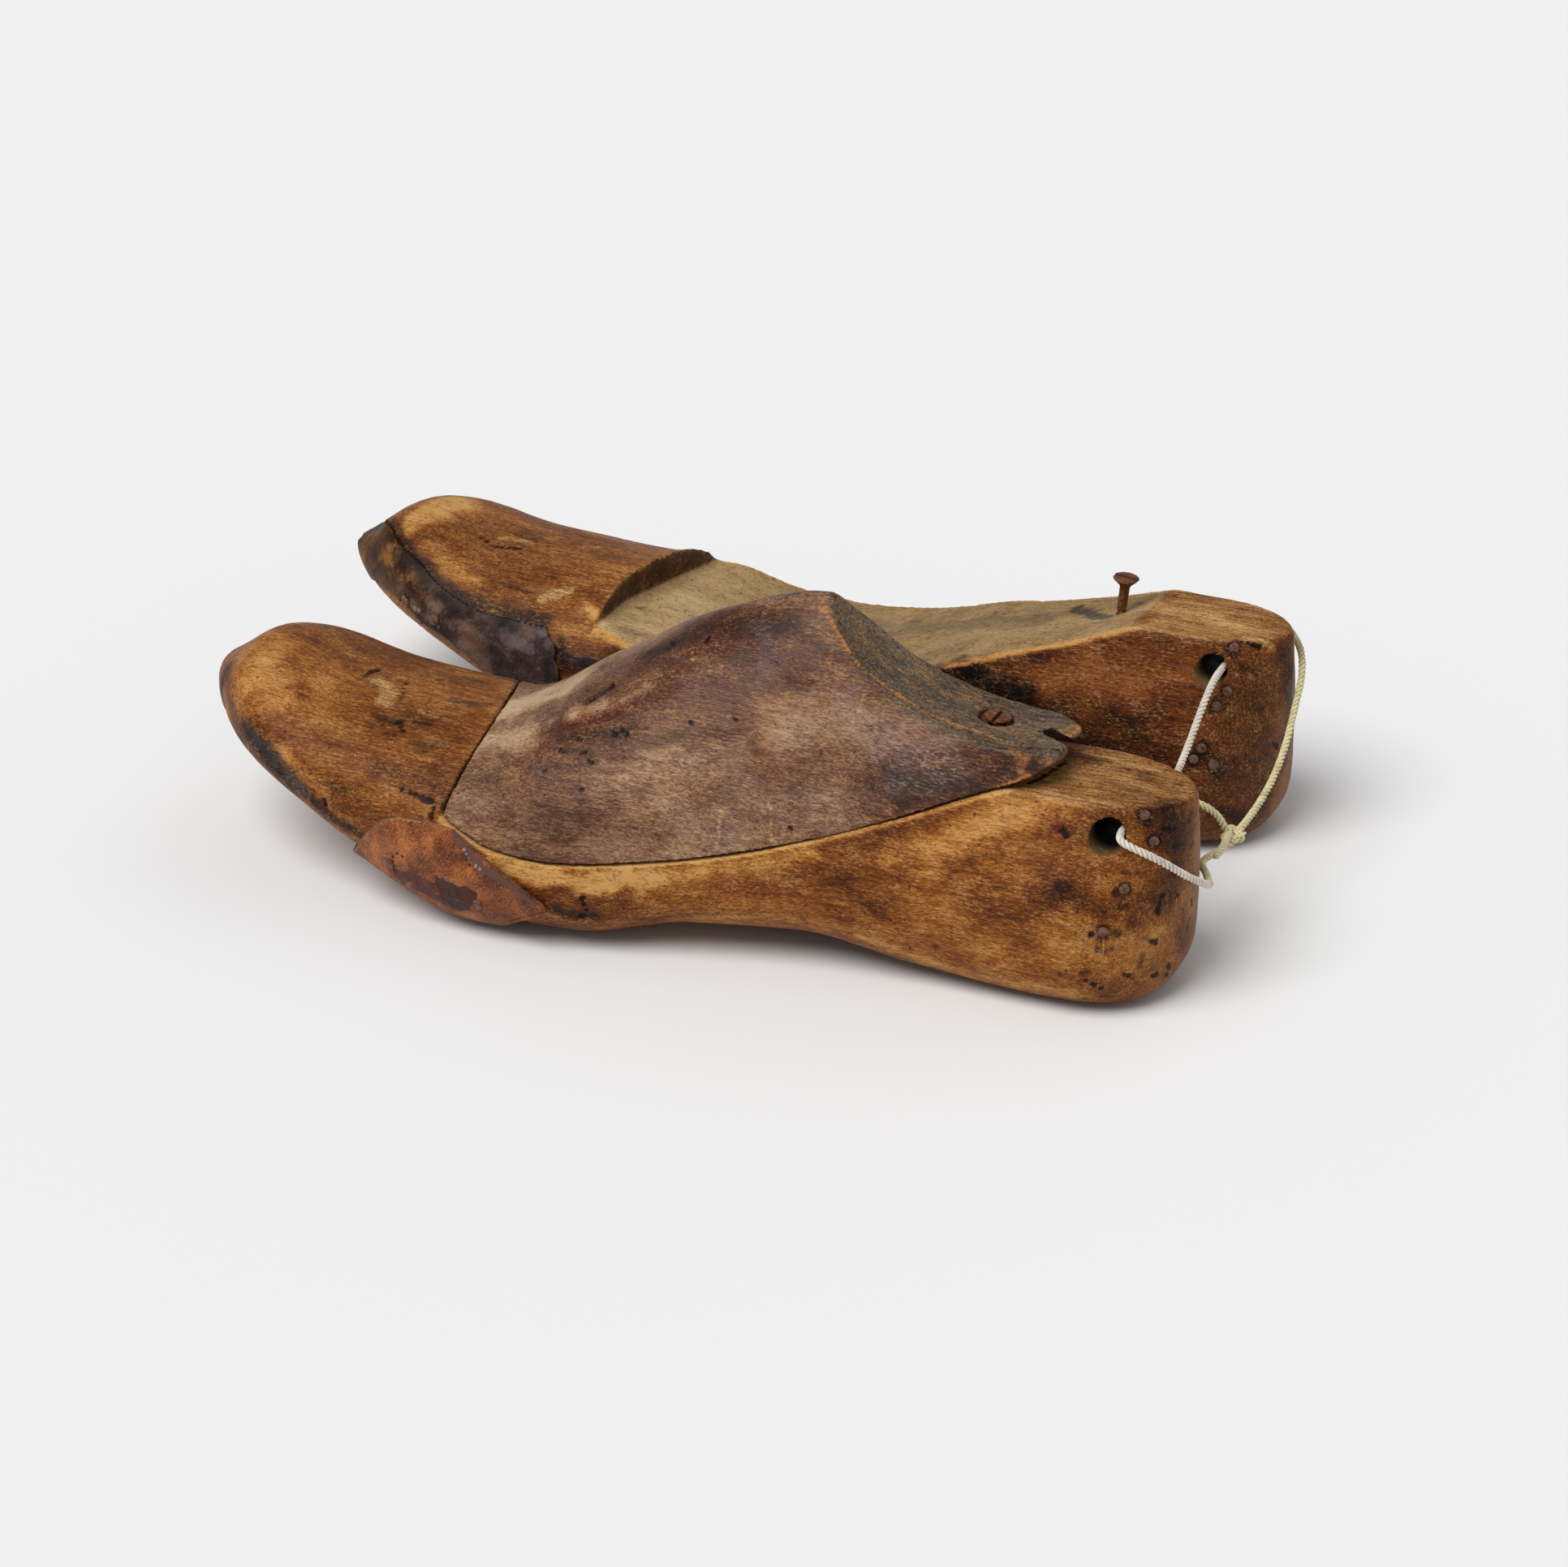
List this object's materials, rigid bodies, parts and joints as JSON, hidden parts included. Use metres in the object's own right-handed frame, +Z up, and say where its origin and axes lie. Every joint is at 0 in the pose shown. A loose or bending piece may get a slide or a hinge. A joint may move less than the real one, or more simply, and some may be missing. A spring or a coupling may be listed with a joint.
{
  "type": "pair of cobbler lasts",
  "caption": "Tied pair of wooden scoop-block shoe lasts, one with its screwed instep block, the other with an empty seat, joined by a thin cord through the heel holes.",
  "frame": {"origin": "bottom centre of the box round both lasts, on the surface they lie on, the cord left out", "axes": "+X from the toes to the heels, +Y from the last with the block to the last without it, +Z up"},
  "size_m": [0.2928, 0.1928, 0.0959],
  "materials": {
    "worn_wood": "old beech or maple, worn smooth, satin, stained dark at the heels",
    "block_wood": "dark handled wood with a satin sheen",
    "rust_suede": "matt rust-brown suede",
    "black_leather": "black, glossy where worn",
    "rusty_iron": "rusted dark",
    "pale_cord": "twisted twine, off-white to yellowish"
  },
  "bodies": {
    "lasts": {"front_last_body": "worn_wood", "front_leather_patch": "rust_suede", "front_patch_tack_1": "rusty_iron", "front_patch_tack_2": "rusty_iron", "front_heel_nail_1": "rusty_iron", "front_heel_nail_2": "rusty_iron", "front_heel_nail_3": "rusty_iron", "front_heel_nail_4": "rusty_iron", "rear_last_body": "worn_wood", "rear_leather_buildup": "black_leather", "rear_buildup_tack_1": "rusty_iron", "rear_buildup_tack_2": "rusty_iron", "rear_heel_nail_1": "rusty_iron", "rear_heel_nail_2": "rusty_iron", "rear_heel_nail_3": "rusty_iron", "rear_heel_nail_4": "rusty_iron", "rear_heel_nail_5": "rusty_iron", "rear_heel_nail_6": "rusty_iron", "cord": "pale_cord", "cord_knot": "pale_cord", "cord_tail_upper": "pale_cord", "cord_tail_lower": "pale_cord"},
    "instep_block": {"front_instep_block": "block_wood"},
    "front_screw": {"front_block_screw": "rusty_iron"},
    "rear_screw": {"rear_block_screw": "rusty_iron"}
  },
  "joints": [
    {"name": "block_lift", "type": "slide", "parent": "lasts", "child": "instep_block", "axis": [0.1045, 0, 0.9945], "range_m": [0, 0.075]},
    {"name": "front_screw_draw", "type": "slide", "parent": "instep_block", "child": "front_screw", "axis": [0.1045, 0, 0.9945], "range_m": [0, 0.03]},
    {"name": "rear_screw_draw", "type": "slide", "parent": "lasts", "child": "rear_screw", "axis": [0.1045, -0.0021, 0.9945], "range_m": [0, 0.019]}
  ]
}
